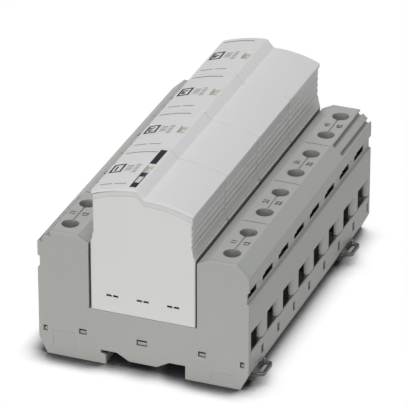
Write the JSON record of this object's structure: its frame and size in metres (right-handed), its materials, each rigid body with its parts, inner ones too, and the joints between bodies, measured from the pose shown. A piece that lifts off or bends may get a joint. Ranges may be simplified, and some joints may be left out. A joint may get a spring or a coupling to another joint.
{
  "type": "din rail surge arrester",
  "caption": "Pluggable surge arrester for a top-hat rail: grey base with terminal towers on both sides, sprung rail latches and a row of pull-out plugs with status windows.",
  "frame": {"origin": "rail centre line, in the plane where the rail's brims seat, at the middle of the length", "axes": "+Y along the rail, +Z away from the rail towards the plugs, +X towards the latch side"},
  "size_m": [0.0925, 0.144, 0.0796],
  "materials": {
    "base_grey": "satin",
    "plug_grey": "satin",
    "plug_cover_grey": "satin",
    "latch_plastic": "satin",
    "flag_green": "matte",
    "cartridge": "matte",
    "screw_steel": "zinc plated",
    "cage_steel": "zinc plated",
    "spring_steel": "bright",
    "copper": "bare"
  },
  "bodies": {
    "base": {"base_tub": "base_grey", "terminal_hood_right": "base_grey", "terminal_hood_left": "base_grey", "end_plate_near": "base_grey", "end_plate_far": "base_grey", "contact_bars_right": "copper", "contact_bars_left": "copper", "latch_spring_near": "spring_steel", "latch_spring_far": "spring_steel"},
    "latch_near": {"rail_latch_near": "latch_plastic"},
    "latch_far": {"rail_latch_far": "latch_plastic"},
    "plug_1": {"plug_housing_1": "plug_grey", "plug_cover_1": "plug_cover_grey", "gap_cartridge_1": "cartridge"},
    "flag_1": {"status_flag_1": "flag_green"},
    "plug_2": {"plug_housing_2": "plug_grey", "plug_cover_2": "plug_cover_grey", "gap_cartridge_2": "cartridge"},
    "flag_2": {"status_flag_2": "flag_green"},
    "plug_3": {"plug_housing_3": "plug_grey", "plug_cover_3": "plug_cover_grey", "gap_cartridge_3": "cartridge"},
    "flag_3": {"status_flag_3": "flag_green"},
    "plug_4": {"plug_housing_4": "plug_grey", "plug_cover_4": "plug_cover_grey", "gap_cartridge_4": "cartridge"},
    "flag_4": {"status_flag_4": "flag_green"},
    "screw_right_1": {"clamp_screw_right_1": "screw_steel"},
    "cage_right_1": {"clamp_cage_right_1": "cage_steel"},
    "screw_right_2": {"clamp_screw_right_2": "screw_steel"},
    "cage_right_2": {"clamp_cage_right_2": "cage_steel"},
    "screw_right_3": {"clamp_screw_right_3": "screw_steel"},
    "cage_right_3": {"clamp_cage_right_3": "cage_steel"},
    "screw_right_4": {"clamp_screw_right_4": "screw_steel"},
    "cage_right_4": {"clamp_cage_right_4": "cage_steel"},
    "screw_right_5": {"clamp_screw_right_5": "screw_steel"},
    "cage_right_5": {"clamp_cage_right_5": "cage_steel"},
    "screw_right_6": {"clamp_screw_right_6": "screw_steel"},
    "cage_right_6": {"clamp_cage_right_6": "cage_steel"},
    "screw_right_7": {"clamp_screw_right_7": "screw_steel"},
    "cage_right_7": {"clamp_cage_right_7": "cage_steel"},
    "screw_right_8": {"clamp_screw_right_8": "screw_steel"},
    "cage_right_8": {"clamp_cage_right_8": "cage_steel"},
    "screw_left_1": {"clamp_screw_left_1": "screw_steel"},
    "cage_left_1": {"clamp_cage_left_1": "cage_steel"},
    "screw_left_2": {"clamp_screw_left_2": "screw_steel"},
    "cage_left_2": {"clamp_cage_left_2": "cage_steel"},
    "screw_left_3": {"clamp_screw_left_3": "screw_steel"},
    "cage_left_3": {"clamp_cage_left_3": "cage_steel"},
    "screw_left_4": {"clamp_screw_left_4": "screw_steel"},
    "cage_left_4": {"clamp_cage_left_4": "cage_steel"},
    "screw_left_5": {"clamp_screw_left_5": "screw_steel"},
    "cage_left_5": {"clamp_cage_left_5": "cage_steel"},
    "screw_left_6": {"clamp_screw_left_6": "screw_steel"},
    "cage_left_6": {"clamp_cage_left_6": "cage_steel"},
    "screw_left_7": {"clamp_screw_left_7": "screw_steel"},
    "cage_left_7": {"clamp_cage_left_7": "cage_steel"},
    "screw_left_8": {"clamp_screw_left_8": "screw_steel"},
    "cage_left_8": {"clamp_cage_left_8": "cage_steel"}
  },
  "joints": [
    {"name": "latch_near_slide", "type": "slide", "parent": "base", "child": "latch_near", "axis": [1, 0, 0], "range_m": [0, 0.004], "stiffness_N_per_m": 800, "springref_m": -0.004, "deforming": ["latch_spring_near"]},
    {"name": "latch_far_slide", "type": "slide", "parent": "base", "child": "latch_far", "axis": [1, 0, 0], "range_m": [0, 0.004], "stiffness_N_per_m": 800, "springref_m": -0.004, "deforming": ["latch_spring_far"]},
    {"name": "plug_1_pull", "type": "slide", "parent": "base", "child": "plug_1", "axis": [0, 0, 1], "range_m": [0, 0.04]},
    {"name": "flag_1_slide", "type": "slide", "parent": "plug_1", "child": "flag_1", "axis": [0, 1, 0], "range_m": [0, 0.0068]},
    {"name": "plug_2_pull", "type": "slide", "parent": "base", "child": "plug_2", "axis": [0, 0, 1], "range_m": [0, 0.04]},
    {"name": "flag_2_slide", "type": "slide", "parent": "plug_2", "child": "flag_2", "axis": [0, 1, 0], "range_m": [0, 0.0068]},
    {"name": "plug_3_pull", "type": "slide", "parent": "base", "child": "plug_3", "axis": [0, 0, 1], "range_m": [0, 0.04]},
    {"name": "flag_3_slide", "type": "slide", "parent": "plug_3", "child": "flag_3", "axis": [0, 1, 0], "range_m": [0, 0.0068]},
    {"name": "plug_4_pull", "type": "slide", "parent": "base", "child": "plug_4", "axis": [0, 0, 1], "range_m": [0, 0.04]},
    {"name": "flag_4_slide", "type": "slide", "parent": "plug_4", "child": "flag_4", "axis": [0, 1, 0], "range_m": [0, 0.0068]},
    {"name": "screw_right_1_turn", "type": "hinge", "parent": "base", "child": "screw_right_1", "pos_m": [0.0337, -0.063, 0.03], "axis": [0, 0, -1], "range_deg": [0, 2160]},
    {"name": "cage_right_1_lift", "type": "slide", "parent": "base", "child": "cage_right_1", "axis": [0, 0, 1], "range_m": [0, 0.006]},
    {"name": "screw_right_2_turn", "type": "hinge", "parent": "base", "child": "screw_right_2", "pos_m": [0.0337, -0.045, 0.03], "axis": [0, 0, -1], "range_deg": [0, 2160]},
    {"name": "cage_right_2_lift", "type": "slide", "parent": "base", "child": "cage_right_2", "axis": [0, 0, 1], "range_m": [0, 0.006]},
    {"name": "screw_right_3_turn", "type": "hinge", "parent": "base", "child": "screw_right_3", "pos_m": [0.0337, -0.027, 0.03], "axis": [0, 0, -1], "range_deg": [0, 2160]},
    {"name": "cage_right_3_lift", "type": "slide", "parent": "base", "child": "cage_right_3", "axis": [0, 0, 1], "range_m": [0, 0.006]},
    {"name": "screw_right_4_turn", "type": "hinge", "parent": "base", "child": "screw_right_4", "pos_m": [0.0337, -0.009, 0.03], "axis": [0, 0, -1], "range_deg": [0, 2160]},
    {"name": "cage_right_4_lift", "type": "slide", "parent": "base", "child": "cage_right_4", "axis": [0, 0, 1], "range_m": [0, 0.006]},
    {"name": "screw_right_5_turn", "type": "hinge", "parent": "base", "child": "screw_right_5", "pos_m": [0.0337, 0.009, 0.03], "axis": [0, 0, -1], "range_deg": [0, 2160]},
    {"name": "cage_right_5_lift", "type": "slide", "parent": "base", "child": "cage_right_5", "axis": [0, 0, 1], "range_m": [0, 0.006]},
    {"name": "screw_right_6_turn", "type": "hinge", "parent": "base", "child": "screw_right_6", "pos_m": [0.0337, 0.027, 0.03], "axis": [0, 0, -1], "range_deg": [0, 2160]},
    {"name": "cage_right_6_lift", "type": "slide", "parent": "base", "child": "cage_right_6", "axis": [0, 0, 1], "range_m": [0, 0.006]},
    {"name": "screw_right_7_turn", "type": "hinge", "parent": "base", "child": "screw_right_7", "pos_m": [0.0337, 0.045, 0.03], "axis": [0, 0, -1], "range_deg": [0, 2160]},
    {"name": "cage_right_7_lift", "type": "slide", "parent": "base", "child": "cage_right_7", "axis": [0, 0, 1], "range_m": [0, 0.006]},
    {"name": "screw_right_8_turn", "type": "hinge", "parent": "base", "child": "screw_right_8", "pos_m": [0.0337, 0.063, 0.03], "axis": [0, 0, -1], "range_deg": [0, 2160]},
    {"name": "cage_right_8_lift", "type": "slide", "parent": "base", "child": "cage_right_8", "axis": [0, 0, 1], "range_m": [0, 0.006]},
    {"name": "screw_left_1_turn", "type": "hinge", "parent": "base", "child": "screw_left_1", "pos_m": [-0.0337, 0.063, 0.03], "axis": [0, 0, -1], "range_deg": [0, 2160]},
    {"name": "cage_left_1_lift", "type": "slide", "parent": "base", "child": "cage_left_1", "axis": [0, 0, 1], "range_m": [0, 0.006]},
    {"name": "screw_left_2_turn", "type": "hinge", "parent": "base", "child": "screw_left_2", "pos_m": [-0.0337, 0.045, 0.03], "axis": [0, 0, -1], "range_deg": [0, 2160]},
    {"name": "cage_left_2_lift", "type": "slide", "parent": "base", "child": "cage_left_2", "axis": [0, 0, 1], "range_m": [0, 0.006]},
    {"name": "screw_left_3_turn", "type": "hinge", "parent": "base", "child": "screw_left_3", "pos_m": [-0.0337, 0.027, 0.03], "axis": [0, 0, -1], "range_deg": [0, 2160]},
    {"name": "cage_left_3_lift", "type": "slide", "parent": "base", "child": "cage_left_3", "axis": [0, 0, 1], "range_m": [0, 0.006]},
    {"name": "screw_left_4_turn", "type": "hinge", "parent": "base", "child": "screw_left_4", "pos_m": [-0.0337, 0.009, 0.03], "axis": [0, 0, -1], "range_deg": [0, 2160]},
    {"name": "cage_left_4_lift", "type": "slide", "parent": "base", "child": "cage_left_4", "axis": [0, 0, 1], "range_m": [0, 0.006]},
    {"name": "screw_left_5_turn", "type": "hinge", "parent": "base", "child": "screw_left_5", "pos_m": [-0.0337, -0.009, 0.03], "axis": [0, 0, -1], "range_deg": [0, 2160]},
    {"name": "cage_left_5_lift", "type": "slide", "parent": "base", "child": "cage_left_5", "axis": [0, 0, 1], "range_m": [0, 0.006]},
    {"name": "screw_left_6_turn", "type": "hinge", "parent": "base", "child": "screw_left_6", "pos_m": [-0.0337, -0.027, 0.03], "axis": [0, 0, -1], "range_deg": [0, 2160]},
    {"name": "cage_left_6_lift", "type": "slide", "parent": "base", "child": "cage_left_6", "axis": [0, 0, 1], "range_m": [0, 0.006]},
    {"name": "screw_left_7_turn", "type": "hinge", "parent": "base", "child": "screw_left_7", "pos_m": [-0.0337, -0.045, 0.03], "axis": [0, 0, -1], "range_deg": [0, 2160]},
    {"name": "cage_left_7_lift", "type": "slide", "parent": "base", "child": "cage_left_7", "axis": [0, 0, 1], "range_m": [0, 0.006]},
    {"name": "screw_left_8_turn", "type": "hinge", "parent": "base", "child": "screw_left_8", "pos_m": [-0.0337, -0.063, 0.03], "axis": [0, 0, -1], "range_deg": [0, 2160]},
    {"name": "cage_left_8_lift", "type": "slide", "parent": "base", "child": "cage_left_8", "axis": [0, 0, 1], "range_m": [0, 0.006]}
  ],
  "couplings": [
    {"joint": "screw_right_1_turn", "follows": "cage_right_1_lift", "rad_per_m": 6283.2},
    {"joint": "screw_right_2_turn", "follows": "cage_right_2_lift", "rad_per_m": 6283.2},
    {"joint": "screw_right_3_turn", "follows": "cage_right_3_lift", "rad_per_m": 6283.2},
    {"joint": "screw_right_4_turn", "follows": "cage_right_4_lift", "rad_per_m": 6283.2},
    {"joint": "screw_right_5_turn", "follows": "cage_right_5_lift", "rad_per_m": 6283.2},
    {"joint": "screw_right_6_turn", "follows": "cage_right_6_lift", "rad_per_m": 6283.2},
    {"joint": "screw_right_7_turn", "follows": "cage_right_7_lift", "rad_per_m": 6283.2},
    {"joint": "screw_right_8_turn", "follows": "cage_right_8_lift", "rad_per_m": 6283.2},
    {"joint": "screw_left_1_turn", "follows": "cage_left_1_lift", "rad_per_m": 6283.2},
    {"joint": "screw_left_2_turn", "follows": "cage_left_2_lift", "rad_per_m": 6283.2},
    {"joint": "screw_left_3_turn", "follows": "cage_left_3_lift", "rad_per_m": 6283.2},
    {"joint": "screw_left_4_turn", "follows": "cage_left_4_lift", "rad_per_m": 6283.2},
    {"joint": "screw_left_5_turn", "follows": "cage_left_5_lift", "rad_per_m": 6283.2},
    {"joint": "screw_left_6_turn", "follows": "cage_left_6_lift", "rad_per_m": 6283.2},
    {"joint": "screw_left_7_turn", "follows": "cage_left_7_lift", "rad_per_m": 6283.2},
    {"joint": "screw_left_8_turn", "follows": "cage_left_8_lift", "rad_per_m": 6283.2}
  ]
}
